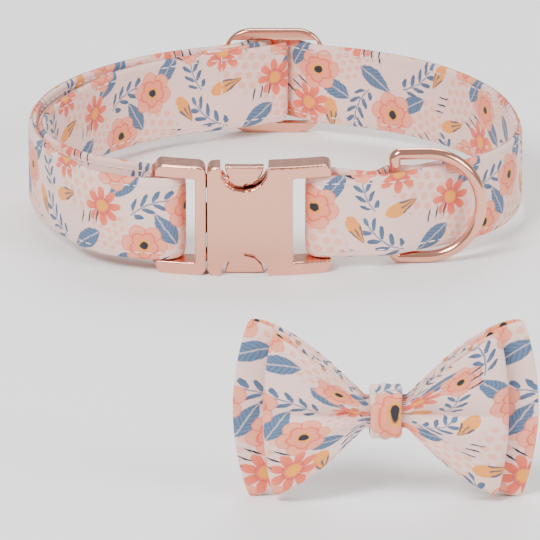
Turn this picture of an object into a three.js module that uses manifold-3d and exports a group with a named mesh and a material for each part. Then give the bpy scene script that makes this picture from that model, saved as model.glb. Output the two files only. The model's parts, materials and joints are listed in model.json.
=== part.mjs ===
// A pet's bow tie collar: a cotton strap with a side-release buckle, a D-ring, a slider,
// and the bow tie that comes with it, standing beside the loop. Millimetres, +Z up.
import * as THREE from 'three';
import { mergeVertices } from 'three/addons/utils/BufferGeometryUtils.js';
import Module from 'manifold-3d';

const wasm = await Module();
wasm.setup();

// Strap: width and thickness of the folded cotton, and the loop that it stands in
const strapWidth = 25;
const strapThick = 2.6;
const loopWidth = 145;
const layerGap = 0.3;
const fitGap = 0.3;
const seamGap = 0.45;

// Buckle: two cast halves on one gentle arch
const buckleLength = 50.8;
const buckleLeft = -34.3;
const buckleThick = 8;
const buckleArch = 90;
const buckleFrontY = -5.2;
const railHeight = 3.7;
const prongBodyLength = 3.1;
const prongRailLength = 11.5;
const socketRailLength = 11.1;
const buckleCorner = 2.4;
const cavityDepth = 4;
const cavityWall = 2.6;
const cavityEndWall = 2;
const notchRadius = 7;
const notchShift = -8.6;
const tongueHeight = 8;
const leftPostRadius = 3.4;
const rightPostRadius = 2.3;
const postInset = 2.3;
const leftPostY = 3.6;
const rightPostY = 4.2;
const leftFoldRadius = 5.3;
const rightFoldRadius = 4;

// D-ring: round wire, its straight bar in a pocket of the strap
const ringWire = 3.4;
const ringHeight = 35;
const ringReach = 28.5;
const ringCorner = 1.9;
const ringShare = 0.955;
const ringTurn = 3;
const ringLift = 0.1;

// Slider: a flat frame with a centre bar
const sliderWidth = 31;
const sliderThick = 2.6;
const sliderRail = 3.4;
const sliderSide = 2.4;
const sliderCorner = 8;
const sliderBevel = 0.5;
const sliderWindowCorner = 0.8;
const sliderSlack = 0.6;
const tailLength = 21.5;

// Bow tie: two looped layers gathered by a knot
const bowHeight = 50;
const bowFrontHalf = 29.5;
const bowBackHalf = 36;
const bowBulge = 4.2;
const bowPly = 1.2;
const bowOpen = 2.6;
const bowLayerGap = 1;
const waistHeight = 7.6;
const knotWidth = 8.8;
const knotPly = 1.6;
const knotSlack = 1.4;
const pleatDepth = 3.6;
const pleatWidth = 2.6;
const gatherDepth = 0.5;
const bowX = 29.6;
const bowY = -178;

// Loop plan: rollers that the strap's outer face runs round, as shares of the loop's width
const loop = {
  back: { x: 0, y: 0.345, r: 0.5 },
  left: { x: -0.0517, y: 0.3655, r: 0.4483 },
  right: { x: 0.2125, y: 0.3276, r: 0.2915 },
  frontLeft: { x: -0.2276, y: 0.1862, r: 0.2069 },
  frontRight: { x: 0.2, y: 0.1034, r: 0.1034 },
  innerLeft: { x: -0.2069, y: 0.345, r: 0.2731 },
};

// Finishes
const cotton = { color: 0xf3dcd7, roughness: 0.9, metalness: 0 };
const roseGold = { color: 0xe6b3a1, roughness: 0.22, metalness: 1 };

// Derived sizes
const buckleHeight = strapWidth + 2 * (railHeight + fitGap);
const midZ = buckleHeight / 2;
const strapBottom = midZ - strapWidth / 2;
const buckleRight = buckleLeft + buckleLength;
const buckleMidX = (buckleLeft + buckleRight) / 2;
const prongRight = buckleLeft + prongRailLength + prongBodyLength;
const socketLeft = prongRight + fitGap;
const socketBodyRight = buckleRight - socketRailLength;
const leftPostX = buckleLeft + postInset;
const rightPostX = buckleRight - postInset;
const halfStrap = strapThick / 2;
const layerPitch = strapThick + layerGap;
const barCentre = sliderWidth / 2 - sliderSide / 2;
const barRadius = sliderThick / 2;
const wrapRadius = barRadius + layerGap + halfStrap;
const sideRadius = Math.hypot(sliderSide, sliderThick) / 2 + layerGap + halfStrap;
const topRadius = wrapRadius + layerPitch;
const ringRadius = ringWire / 2;
const layerMiddle = bowPly + (layerGap + bowLayerGap) / 2;

// A roller in plan with its turn: +1 where the strap turns left, -1 where it turns right
function roller(x, y, r, turn) {
  return { x, y, r, turn };
}

function loopRoller(name, turn, inset = 0) {
  const row = loop[name];
  return roller(row.x * loopWidth, row.y * loopWidth, row.r * loopWidth - halfStrap - inset, turn);
}

// Heading of the straight run that leaves roller a and meets roller b
function heading(a, b) {
  const apart = Math.hypot(b.x - a.x, b.y - a.y);
  const cross = Math.max(-1, Math.min(1, (a.turn * a.r - b.turn * b.r) / apart));
  return Math.atan2(b.y - a.y, b.x - a.x) + Math.asin(cross);
}

function onRoller(a, angle) {
  const side = a.turn * a.r;
  return { x: a.x + side * Math.sin(angle), y: a.y - side * Math.cos(angle), angle };
}

// The strap's centreline: straight runs and arcs over the rollers, each point with its heading
function route(rollers) {
  const arcStep = THREE.MathUtils.degToRad(12);
  const longStep = 5;
  const points = [onRoller(rollers[0], heading(rollers[0], rollers[1]))];
  for (let i = 1; i < rollers.length - 1; i++) {
    const a = rollers[i];
    const enter = heading(rollers[i - 1], a);
    let sweep = (heading(a, rollers[i + 1]) - enter) * a.turn;
    sweep -= 2 * Math.PI * Math.floor(sweep / (2 * Math.PI));
    const count = Math.max(2, Math.ceil(sweep / arcStep), Math.ceil((sweep * a.r) / longStep));
    for (let k = 0; k <= count; k++) {
      points.push(onRoller(a, enter + (a.turn * sweep * k) / count));
    }
  }
  const last = rollers[rollers.length - 1];
  points.push(onRoller(last, heading(rollers[rollers.length - 2], last)));
  return points;
}

// Points on the straight run between two rollers of the outer layer, moved in from it
function besideRun(a, b, share, inward) {
  const angle = heading(a, b);
  const p = onRoller(a, angle);
  const q = onRoller(b, angle);
  return {
    x: p.x + (q.x - p.x) * share + inward * Math.sin(angle),
    y: p.y + (q.y - p.y) * share - inward * Math.cos(angle),
  };
}

const back = loopRoller('back', -1);
const right = loopRoller('right', -1);
const frontRight = loopRoller('frontRight', -1);
const barReach = back.r + sideRadius + sliderSlack;
const sliderY = back.y + Math.sqrt(barReach ** 2 - barCentre ** 2);
const barL = (r, turn) => roller(-barCentre, sliderY, r, turn);
const ringBar = besideRun(right, frontRight, ringShare, halfStrap + seamGap + ringRadius);

// Where each cloth layer goes, from the sewn end at the slider to the sewn end past the D-ring
function strapRoute() {
  const pocket = 3;
  const tack = besideRun(right, frontRight, 0.55, layerPitch + pocket);
  const end = besideRun(right, frontRight, 0.02, layerPitch);
  const sewnX = ringBar.x - ringRadius - pocket - strapThick;
  const sewnY = frontRight.y - frontRight.r + layerPitch + pocket;
  return route([
    roller(-tailLength, back.y + Math.sqrt(back.r ** 2 - tailLength ** 2) - layerPitch - layerGap, 0, 1),
    barL(sideRadius + layerPitch, 1),
    roller(0, sliderY, wrapRadius, -1),
    barL(sideRadius + 2 * layerPitch, -1),
    loopRoller('back', 1, 2 * layerPitch + layerGap),
    loopRoller('innerLeft', 1),
    roller(leftPostX, leftPostY, leftFoldRadius, -1),
    loopRoller('frontLeft', -1),
    loopRoller('left', -1),
    back,
    barL(sideRadius, 1),
    roller(0, sliderY, topRadius, -1),
    roller(barCentre, sliderY, sideRadius, 1),
    back,
    right,
    frontRight,
    roller(rightPostX, rightPostY, rightFoldRadius, -1),
    roller(sewnX, sewnY, pocket, 1),
    roller(ringBar.x, ringBar.y, ringRadius + seamGap + halfStrap, -1),
    roller(tack.x, tack.y, pocket, 1),
    roller(end.x, end.y, 0, 1),
  ]);
}

function toSolid(geometry) {
  const bare = geometry.clone();
  bare.deleteAttribute('normal');
  bare.deleteAttribute('uv');
  const merged = mergeVertices(bare, 1e-4);
  return new wasm.Manifold(new wasm.Mesh({
    numProp: 3,
    vertProperties: new Float32Array(merged.attributes.position.array),
    triVerts: new Uint32Array(merged.index.array),
  }));
}

function fromSolid(solid) {
  const mesh = solid.getMesh();
  const geometry = new THREE.BufferGeometry();
  geometry.setAttribute('position', new THREE.BufferAttribute(mesh.vertProperties, 3));
  geometry.setIndex(new THREE.BufferAttribute(mesh.triVerts, 1));
  return geometry;
}

// A plan shape pulled up by height from z
function standUp(shape, z, height, curveSegments = 12) {
  const geometry = new THREE.ExtrudeGeometry(shape, { depth: height, bevelEnabled: false, curveSegments });
  geometry.translate(0, 0, z);
  return geometry;
}

// A front-view shape (x across, z up) pulled from y = near to y = far
function pushBack(shape, near, far, curveSegments = 12) {
  const geometry = new THREE.ExtrudeGeometry(shape, { depth: far - near, bevelEnabled: false, curveSegments });
  geometry.rotateX(Math.PI / 2);
  geometry.translate(0, far, 0);
  return geometry;
}

function strap() {
  const line = strapRoute();
  const side = (offset) => line.map((p) => new THREE.Vector2(
    p.x - offset * Math.sin(p.angle),
    p.y + offset * Math.cos(p.angle),
  ));
  const outline = side(halfStrap).concat(side(-halfStrap).reverse());
  return standUp(new THREE.Shape(outline), strapBottom, strapWidth);
}

// The buckle's arch in plan: a band between two depths behind its front face
function archBand(left, end, front, behind) {
  const centreY = buckleFrontY + buckleArch;
  const steps = 10;
  const edge = (radius) => Array.from({ length: steps + 1 }, (_, k) => {
    const x = left + ((end - left) * k) / steps - buckleMidX;
    return new THREE.Vector2(buckleMidX + x, centreY - Math.sqrt(radius ** 2 - x ** 2));
  });
  const outline = edge(buckleArch - front).concat(edge(buckleArch - behind).reverse());
  return standUp(new THREE.Shape(outline), -1, buckleHeight + 2);
}

function box(x0, x1, z0, z1) {
  const shape = new THREE.Shape();
  shape.moveTo(x0, z0);
  shape.lineTo(x1, z0);
  shape.lineTo(x1, z1);
  shape.lineTo(x0, z1);
  return shape;
}

function roundedBox(x0, x1, z0, z1, r) {
  const shape = new THREE.Shape();
  shape.moveTo(x0 + r, z0);
  shape.lineTo(x1 - r, z0);
  shape.absarc(x1 - r, z0 + r, r, -Math.PI / 2, 0);
  shape.lineTo(x1, z1 - r);
  shape.absarc(x1 - r, z1 - r, r, 0, Math.PI / 2);
  shape.lineTo(x0 + r, z1);
  shape.absarc(x0 + r, z1 - r, r, Math.PI / 2, Math.PI);
  shape.lineTo(x0, z0 + r);
  shape.absarc(x0 + r, z0 + r, r, Math.PI, 1.5 * Math.PI);
  return shape;
}

function disc(x, z, r) {
  const shape = new THREE.Shape();
  shape.absarc(x, z, r, 0, 2 * Math.PI);
  return shape;
}

const near = buckleFrontY - 5;
const far = buckleFrontY + buckleThick + 12;
const frontCut = (shape, segments) => toSolid(pushBack(shape, near, far, segments));

function post(x, y, radius) {
  const geometry = new THREE.CylinderGeometry(radius, radius, buckleHeight - railHeight, 20);
  geometry.rotateX(Math.PI / 2);
  geometry.translate(x, y, midZ);
  return toSolid(geometry);
}

// Half with the levers: a bar, two rails, a thin body, and what reaches into the other half
function prongHalf() {
  const cavityNear = (buckleThick - cavityDepth) / 2 + fitGap;
  const whole = toSolid(archBand(buckleLeft, prongRight, 0, buckleThick));
  const face = frontCut(roundedBox(buckleLeft, prongRight, 0, buckleHeight, buckleCorner), 5);
  const windowRight = prongRight - prongBodyLength;
  const window = frontCut(box(buckleLeft - 1, windowRight, railHeight, buckleHeight - railHeight));
  const reach = socketBodyRight - cavityEndWall - fitGap;
  const inside = toSolid(archBand(windowRight + 1, reach, cavityNear, buckleThick - cavityNear));
  const leverRadius = notchRadius - 1.2;
  const leverRoot = cavityWall + 1.2;
  let arms = frontCut(box(windowRight + 1, reach - 4, midZ - tongueHeight / 2, midZ + tongueHeight / 2));
  for (const [edge, sign] of [[buckleHeight, -1], [0, 1]]) {
    const tip = frontCut(disc(notchShift, edge, leverRadius), 6);
    const sill = edge + sign * leverRoot;
    const lever = frontCut(box(windowRight + 1, notchShift, Math.min(sill, sill + sign * 3),
      Math.max(sill, sill + sign * 3)));
    const cap = frontCut(box(buckleLeft, buckleRight, Math.min(edge + sign * 0.4, midZ),
      Math.max(edge + sign * 0.4, midZ)));
    arms = arms.add(tip.add(lever).intersect(cap));
  }
  const bar = post(leftPostX, leftPostY, leftPostRadius);
  return fromSolid(whole.intersect(face).subtract(window).add(bar).add(inside.intersect(arms)));
}

// Half with the mouth: a hollow body with a round notch above and below, two rails and a bar
function socketHalf() {
  const cavityNear = (buckleThick - cavityDepth) / 2;
  const whole = toSolid(archBand(socketLeft, buckleRight, 0, buckleThick));
  const face = frontCut(roundedBox(socketLeft, buckleRight, 0, buckleHeight, buckleCorner), 5);
  const window = frontCut(box(socketBodyRight, buckleRight + 1, railHeight, buckleHeight - railHeight));
  const hollow = toSolid(archBand(socketLeft - 1, socketBodyRight - cavityEndWall, cavityNear,
    buckleThick - cavityNear));
  const mouth = frontCut(box(socketLeft - 1, socketBodyRight, cavityWall, buckleHeight - cavityWall));
  let solid = whole.intersect(face).subtract(window).subtract(hollow.intersect(mouth));
  for (const edge of [0, buckleHeight]) {
    solid = solid.subtract(frontCut(disc(notchShift, edge, notchRadius), 8));
  }
  return fromSolid(solid.add(post(rightPostX, rightPostY, rightPostRadius)));
}

// D outline in the plane of u (out from the bar) and z, walked once round with round corners
function ringPoints() {
  const half = ringHeight / 2 - ringRadius;
  const reach = ringReach - ringWire;
  const bowStart = reach - half;
  const points = [];
  const arc = (u, z, r, from, to, count) => {
    for (let k = 0; k <= count; k++) {
      const a = THREE.MathUtils.degToRad(from + ((to - from) * k) / count);
      points.push([u + r * Math.cos(a), z + r * Math.sin(a)]);
    }
  };
  arc(ringCorner, -half + ringCorner, ringCorner, 180, 270, 4);
  arc(bowStart, 0, half, -90, 90, 14);
  arc(ringCorner, half - ringCorner, ringCorner, 90, 180, 4);
  return points;
}

function dRing() {
  const turn = THREE.MathUtils.degToRad(ringTurn);
  const points = ringPoints().map(([u, z]) => new THREE.Vector3(u * Math.cos(turn), u * Math.sin(turn), z));
  const curve = new THREE.CatmullRomCurve3(points, true, 'centripetal');
  return new THREE.TubeGeometry(curve, 56, ringRadius, 10, true);
}

function slider() {
  const half = sliderWidth / 2 - sliderBevel;
  const top = buckleHeight - sliderBevel;
  const plate = new THREE.ExtrudeGeometry(roundedBox(-half, half, sliderBevel, top, sliderCorner), {
    depth: sliderThick - 2 * sliderBevel,
    bevelThickness: sliderBevel,
    bevelSize: sliderBevel,
    bevelSegments: 2,
    curveSegments: 6,
  });
  plate.rotateX(Math.PI / 2);
  plate.translate(0, sliderThick / 2 - sliderBevel, 0);
  const inner = sliderWidth / 2 - sliderSide;
  const opening = roundedBox(-inner, inner, sliderRail, buckleHeight - sliderRail, sliderWindowCorner);
  const window = toSolid(pushBack(opening, -sliderThick, sliderThick, 4));
  return fromSolid(toSolid(plate).subtract(window).add(post(0, 0, barRadius)));
}

// How the gathered cloth lies: x and z spread from the waist, and the pleats push y back
function gather(x, y, share) {
  const out = Math.abs(x);
  const start = knotWidth / 2 + bowPly;
  const s = Math.min(1, Math.max(0, (out - start) / (bowBackHalf - start)));
  const half = waistHeight / 2 + ((bowHeight - waistHeight) / 2) * (1 - (1 - s) ** 1.5);
  const z = share * half;
  const rise = Math.min(1, Math.max(0, (out - start) / 7));
  const fade = rise * rise * (3 - 2 * rise) * (1 - s) ** 0.8;
  const pleat = pleatDepth * fade * Math.exp(-((z / pleatWidth) ** 2));
  const ripple = gatherDepth * fade * (1 - s) ** 2 * Math.cos(share * 3.5 * Math.PI);
  const swell = Math.sign(x) * bowBulge * s * s * (1 - share * share);
  return new THREE.Vector3(x + swell, y + pleat + ripple, z);
}

// A closed band: a plan loop of centre points, walled, spread by the gather along its height
function wings(half, inner, outer, middle) {
  const around = 56;
  const up = 12;
  const centre = [];
  for (let k = 0; k < around; k++) {
    const a = (2 * Math.PI * k) / around;
    const c = Math.cos(a);
    const x = half * Math.sign(c) * Math.abs(c) ** 0.8;
    const round = (1 - Math.abs(x / half) ** 5) ** 0.4;
    const away = Math.min(1, Math.max(0, (Math.abs(x) - knotWidth / 2) / (half * 0.55)));
    const open = bowOpen * away * away * (3 - 2 * away);
    const face = Math.sin(a) < 0 ? inner : outer;
    const side = Math.sin(a) < 0 ? -1 : 1;
    centre.push(new THREE.Vector2(x, middle + side * ((bowPly + layerGap) / 2 + open * face) * round));
  }
  const vertices = [];
  const normalAt = (k) => {
    const p = centre[(k + around - 1) % around];
    const q = centre[(k + 1) % around];
    return new THREE.Vector2(q.y - p.y, p.x - q.x).normalize();
  };
  const ring = 2 * (up + 1);
  for (let k = 0; k < around; k++) {
    const n = normalAt(k);
    for (let j = 0; j < ring; j++) {
      const outside = j <= up;
      const share = outside ? -1 + (2 * j) / up : 1 - (2 * (j - up - 1)) / up;
      const d = outside ? bowPly / 2 : -bowPly / 2;
      const v = gather(centre[k].x + n.x * d, centre[k].y + n.y * d, share);
      vertices.push(v.x, v.y, v.z);
    }
  }
  return closedStrip(vertices, around, ring);
}

// Joins rows of points into one closed skin, both ways round
function closedStrip(vertices, rows, ring) {
  const index = [];
  for (let k = 0; k < rows; k++) {
    for (let j = 0; j < ring; j++) {
      const a = k * ring + j;
      const b = k * ring + ((j + 1) % ring);
      const c = ((k + 1) % rows) * ring + ((j + 1) % ring);
      const d = ((k + 1) % rows) * ring + j;
      index.push(a, c, b, a, d, c);
    }
  }
  const geometry = new THREE.BufferGeometry();
  geometry.setAttribute('position', new THREE.Float32BufferAttribute(vertices, 3));
  geometry.setIndex(index);
  return geometry;
}

// The knot: a loop round all the plies, waisted a little at its middle
function knot() {
  const innerZ = waistHeight / 2 + fitGap + knotSlack;
  const innerY = layerMiddle + layerGap / 2 + bowPly + fitGap + knotSlack / 2;
  const around = 40;
  const across = 6;
  const ring = 2 * (across + 1);
  const vertices = [];
  for (let k = 0; k < around; k++) {
    const a = (2 * Math.PI * k) / around;
    const corner = 0.33;
    const cy = Math.sign(Math.cos(a)) * Math.abs(Math.cos(a)) ** corner;
    const cz = Math.sign(Math.sin(a)) * Math.abs(Math.sin(a)) ** corner;
    for (let j = 0; j < ring; j++) {
      const outside = j <= across;
      const share = outside ? -1 + (2 * j) / across : 1 - (2 * (j - across - 1)) / across;
      const wall = outside ? knotPly * (1 - 0.25 * share ** 4) : 0;
      vertices.push((share * knotWidth) / 2, (innerY + wall) * cy, (innerZ + wall) * cz);
    }
  }
  return closedStrip(vertices, around, ring);
}

function facingOut(geometry) {
  const flat = geometry.index ? geometry : mergeVertices(geometry);
  const p = flat.attributes.position;
  const i = flat.index;
  let volume = 0;
  for (let k = 0; k < i.count; k += 3) {
    const [a, b, c] = [0, 1, 2].map((n) => new THREE.Vector3().fromBufferAttribute(p, i.getX(k + n)));
    volume += a.dot(b.cross(c));
  }
  if (volume < 0) {
    for (let k = 0; k < i.count; k += 3) {
      const keep = i.getX(k);
      i.setX(k, i.getX(k + 1));
      i.setX(k + 1, keep);
    }
  }
  flat.computeVertexNormals();
  return flat;
}

const collar = new THREE.Group();

function add(parent, name, geometry, finish, place = [0, 0, 0]) {
  const mesh = new THREE.Mesh(facingOut(geometry), new THREE.MeshStandardMaterial(finish));
  mesh.name = name;
  mesh.position.set(...place);
  parent.add(mesh);
}

add(collar, 'strap', strap(), cotton);
add(collar, 'buckle_prong_half', prongHalf(), roseGold);
add(collar, 'buckle_socket_half', socketHalf(), roseGold);
add(collar, 'd_ring', dRing(), roseGold, [ringBar.x, ringBar.y, ringHeight / 2 + ringLift]);
add(collar, 'slider', slider(), roseGold, [0, sliderY, 0]);

const bow = new THREE.Group();
add(bow, 'bow_front_wings', wings(bowFrontHalf, 1, 0, -layerMiddle), cotton);
add(bow, 'bow_back_wings', wings(bowBackHalf, 0, 1, layerMiddle), cotton);
add(bow, 'bow_knot', knot(), cotton);
bow.position.set(bowX, bowY, bowHeight / 2);
collar.add(bow);

// The origin is under the middle of the whole set
collar.updateMatrixWorld(true);
const bounds = new THREE.Box3().setFromObject(collar, true);
const middle = bounds.getCenter(new THREE.Vector3());
const group = new THREE.Group();
group.name = 'pet_bow_tie_collar';
collar.position.set(-middle.x, -middle.y, -bounds.min.z);
group.add(collar);

export default group;
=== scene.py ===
import json
import math

import bmesh
import bpy
from bpy.props import FloatProperty, FloatVectorProperty, IntProperty, PointerProperty
from bpy.types import Operator, Panel, PropertyGroup
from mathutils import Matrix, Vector


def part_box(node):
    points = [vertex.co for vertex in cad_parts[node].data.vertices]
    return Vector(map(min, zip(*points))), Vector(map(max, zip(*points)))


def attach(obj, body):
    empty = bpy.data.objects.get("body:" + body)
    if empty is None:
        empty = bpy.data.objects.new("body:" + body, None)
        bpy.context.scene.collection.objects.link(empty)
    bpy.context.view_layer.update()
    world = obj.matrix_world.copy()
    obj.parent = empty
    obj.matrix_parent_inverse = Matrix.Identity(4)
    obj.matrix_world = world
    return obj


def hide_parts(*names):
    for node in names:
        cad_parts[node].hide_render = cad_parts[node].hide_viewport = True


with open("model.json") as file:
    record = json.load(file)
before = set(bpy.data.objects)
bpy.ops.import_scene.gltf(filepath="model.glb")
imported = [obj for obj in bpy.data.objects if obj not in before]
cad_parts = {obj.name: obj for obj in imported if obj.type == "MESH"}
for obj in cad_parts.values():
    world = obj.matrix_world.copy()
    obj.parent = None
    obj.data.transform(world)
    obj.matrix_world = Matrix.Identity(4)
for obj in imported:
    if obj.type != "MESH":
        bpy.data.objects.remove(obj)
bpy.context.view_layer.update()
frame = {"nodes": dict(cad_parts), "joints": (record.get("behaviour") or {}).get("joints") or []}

bl_info = {
    "name": "Pet Bow Tie Collar",
    "version": (1, 0, 0),
    "blender": (4, 5, 0),
    "location": "View3D > Sidebar > Collar",
    "description": "Dresses a printed cotton pet collar, its cast fittings and its bow tie",
    "category": "Object",
}

MM = 0.001


# Where the collar's own plan lies in the frame: the slider stands on its centreline
SLIDER_LOW, SLIDER_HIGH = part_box("slider")
STRAP_LOW, STRAP_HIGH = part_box("strap")
BOW_LOW, BOW_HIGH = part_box("bow_back_wings")
KNOT_LOW, KNOT_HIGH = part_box("bow_knot")
RING_HINGE = Vector(frame["joints"][0]["pos_m"]) / MM
SHIFT_X = (SLIDER_LOW.x + SLIDER_HIGH.x) / 2 / MM

# Where seams cross the strap, in millimetres: from its first end, from its last end, or across the front
TAIL_SEAM = 3.0
INNER_SEAM = 52.0
END_SEAMS = (1.5, 2.6)
END_LEAN = 0.6
TACK_SEAM = 17.0
FRONT_SEAMS_X = (24.5, 46.0)


def millimetres(name, text, value):
    return FloatProperty(name=name, description=text, default=value, min=0.0)


def colour(name, text, value):
    return FloatVectorProperty(name=name, description=text, default=value, size=3, min=0.0, max=1.0,
                               subtype="COLOR")


class CollarStrapSizes(PropertyGroup):
    """Sizes of the sewn strap, in millimetres."""
    thick: millimetres("Thickness", "Thickness of the folded cotton over its webbing, in mm", 2.6)
    loop_width: millimetres("Loop width", "Outer width of the standing loop, in mm", 145.0)
    layer_gap: millimetres("Layer gap", "Air between two layers that lie together, in mm", 0.3)
    step: millimetres("Step", "Length of one strip of the swept cloth, in mm", 0.9)
    pucker: millimetres("Pucker", "How far the seam draws the cloth in, in mm", 0.24)
    seam_inset: millimetres("Seam inset", "From the strap's edge to its running seam, in mm", 2.3)
    stitch_length: millimetres("Stitch length", "Length of one visible stitch, in mm", 2.5)
    stitch_pitch: millimetres("Stitch pitch", "From one stitch to the next, in mm", 3.3)
    thread: millimetres("Thread", "Thickness of the sewing thread, in mm", 0.42)
    ring_wire: millimetres("Ring wire", "Diameter of the D-ring's wire, in mm", 3.4)


class CollarBowSizes(PropertyGroup):
    """Sizes of the bow tie, in millimetres."""
    ply: millimetres("Ply", "Thickness of one folded ply, in mm", 1.1)
    front_half: millimetres("Front half", "From the knot's middle to the front layer's corners, in mm", 29.5)
    back_half: millimetres("Back half", "From the knot's middle to the back layer's corners, in mm", 36.0)
    bulge: millimetres("Bulge", "How far the folded ends swell out, in mm", 4.2)
    waist: millimetres("Waist", "Height of the gathered middle under the knot, in mm", 7.6)
    opening: millimetres("Opening", "How far the loops stand open, in mm", 2.6)
    pleat: millimetres("Pleat", "Depth of the middle fold beside the knot, in mm", 3.4)
    around: IntProperty(name="Around", description="Strips round one layer", default=260, min=24)
    up: IntProperty(name="Up", description="Strips up one layer", default=64, min=8)


class CollarColours(PropertyGroup):
    """Colours of the print, the thread and the metal."""
    ground: colour("Ground", "Pale pink cotton", (0.90, 0.615, 0.555))
    slate: colour("Slate", "Blue grey of the leaves", (0.100, 0.170, 0.285))
    deep_slate: colour("Deep slate", "Veins of the leaves", (0.035, 0.070, 0.145))
    coral: colour("Coral", "Strong petals", (0.820, 0.110, 0.060))
    peach: colour("Peach", "Pale petals", (0.900, 0.270, 0.160))
    blush: colour("Blush", "Faint berries", (0.930, 0.430, 0.300))
    gold: colour("Gold", "Buds and stamens", (0.880, 0.340, 0.045))
    ink: colour("Ink", "Seeds and the dark hearts of blooms", (0.016, 0.018, 0.026))
    thread: colour("Thread", "Off-white sewing thread", (0.86, 0.74, 0.70))
    metal: colour("Metal", "Rose-gold plating", (0.82, 0.40, 0.285))


def settings():
    scene = bpy.context.scene
    return scene.collar_strap, scene.collar_bow, scene.collar_colours


# The strap's plan: straight runs and arcs over rollers (x, y, radius, turn), in millimetres

def heading(a, b):
    apart = math.hypot(b[0] - a[0], b[1] - a[1])
    cross = max(-1.0, min(1.0, (a[3] * a[2] - b[3] * b[2]) / apart))
    return math.atan2(b[1] - a[1], b[0] - a[0]) + math.asin(cross)


def on_roller(a, angle):
    side = a[3] * a[2]
    return a[0] + side * math.sin(angle), a[1] - side * math.cos(angle), angle


def beside_run(a, b, share, inward):
    angle = heading(a, b)
    p, q = on_roller(a, angle), on_roller(b, angle)
    x = p[0] + (q[0] - p[0]) * share + inward * math.sin(angle)
    y = p[1] + (q[1] - p[1]) * share - inward * math.cos(angle)
    return x, y


def roller_table(sizes):
    """The strap's rollers, in the collar's own plan."""
    wide = sizes.loop_width
    half = sizes.thick / 2
    pitch = sizes.thick + sizes.layer_gap
    bar_radius, side_bar, slider_wide = 1.3, 2.4, 31.0
    left_post = (-32.0, 3.6, 5.3, -1)
    right_post = (14.2, 4.2, 4.0, -1)
    wrap = bar_radius + sizes.layer_gap + half
    side = math.hypot(side_bar, 2 * bar_radius) / 2 + sizes.layer_gap + half
    bar_x = slider_wide / 2 - side_bar / 2
    ring_radius, seam_gap, pocket, tail = sizes.ring_wire / 2, 0.45, 3.0, 21.5
    shares = {
        "back": (0.0, 0.345, 0.5),
        "left": (-0.0517, 0.3655, 0.4483),
        "right": (0.2125, 0.3276, 0.2915),
        "front_left": (-0.2276, 0.1862, 0.2069),
        "front_right": (0.2, 0.1034, 0.1034),
        "inner_left": (-0.2069, 0.345, 0.2731),
    }

    def loop(name, turn, inset=0.0):
        x, y, r = shares[name]
        return x * wide, y * wide, r * wide - half - inset, turn

    back, right, front_right = loop("back", -1), loop("right", -1), loop("front_right", -1)
    reach = back[2] + side + 0.6
    slider_y = back[1] + math.sqrt(reach ** 2 - bar_x ** 2)
    ring = beside_run(right, front_right, 0.955, half + seam_gap + ring_radius)
    tack = beside_run(right, front_right, 0.55, pitch + pocket)
    end = beside_run(right, front_right, 0.02, pitch)
    sewn_x = ring[0] - ring_radius - pocket - sizes.thick
    sewn_y = front_right[1] - front_right[2] + pitch + pocket
    tail_y = back[1] + math.sqrt(back[2] ** 2 - tail ** 2) - pitch - sizes.layer_gap
    return slider_y, [
        (-tail, tail_y, 0.0, 1),
        (-bar_x, slider_y, side + pitch, 1),
        (0.0, slider_y, wrap, -1),
        (-bar_x, slider_y, side + 2 * pitch, -1),
        loop("back", 1, 2 * pitch + sizes.layer_gap),
        loop("inner_left", 1),
        left_post,
        loop("front_left", -1),
        loop("left", -1),
        back,
        (-bar_x, slider_y, side, 1),
        (0.0, slider_y, wrap + pitch, -1),
        (bar_x, slider_y, side, 1),
        back,
        right,
        front_right,
        right_post,
        (sewn_x, sewn_y, pocket, 1),
        (ring[0], ring[1], ring_radius + seam_gap + half, -1),
        (tack[0], tack[1], pocket, 1),
        (end[0], end[1], 0.0, 1),
    ]


def strap_line(sizes):
    """Even points (x, y, heading, length so far) along the strap, in the frame's millimetres."""
    slider_y, rollers = roller_table(sizes)
    shift_y = (SLIDER_LOW.y + SLIDER_HIGH.y) / 2 / MM - slider_y
    line = [on_roller(rollers[0], heading(rollers[0], rollers[1]))]
    arc_step = math.radians(3)
    for before, here, after in zip(rollers, rollers[1:], rollers[2:]):
        enter = heading(before, here)
        first = on_roller(here, enter)
        last = line[-1]
        run = math.hypot(first[0] - last[0], first[1] - last[1])
        pieces = max(1, round(run / sizes.step))
        for k in range(1, pieces):
            f = k / pieces
            line.append((last[0] + (first[0] - last[0]) * f, last[1] + (first[1] - last[1]) * f, enter))
        sweep = ((heading(here, after) - enter) * here[3]) % (2 * math.pi)
        count = max(2, math.ceil(sweep / arc_step), math.ceil(sweep * here[2] / sizes.step))
        line += [on_roller(here, enter + here[3] * sweep * k / count) for k in range(count + 1)]
    line.append(on_roller(rollers[-1], heading(rollers[-2], rollers[-1])))
    out, total = [], 0.0
    for k, (x, y, angle) in enumerate(line):
        if k:
            total += math.hypot(x - line[k - 1][0], y - line[k - 1][1])
        out.append((x + SHIFT_X, y + shift_y, angle, total))
    return out


# Making meshes

def new_piece(name, vertices, faces, uvs=None, smooth=True):
    mesh = bpy.data.meshes.new(name)
    mesh.from_pydata([(x * MM, y * MM, z * MM) for x, y, z in vertices], [], faces)
    if uvs:
        layer = mesh.uv_layers.new(name="cloth")
        for poly in mesh.polygons:
            for corner in poly.loop_indices:
                layer.data[corner].uv = uvs[poly.index][corner - poly.loop_start]
    mesh.polygons.foreach_set("use_smooth", [smooth] * len(mesh.polygons))
    mesh.update()
    piece = bpy.data.objects.new(name, mesh)
    bpy.context.scene.collection.objects.link(piece)
    return piece


def finish_piece(piece, material, body, replaced=()):
    piece.data.materials.clear()
    piece.data.materials.append(material)
    if replaced:
        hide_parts(*replaced)
    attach(piece, body)
    return piece


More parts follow.
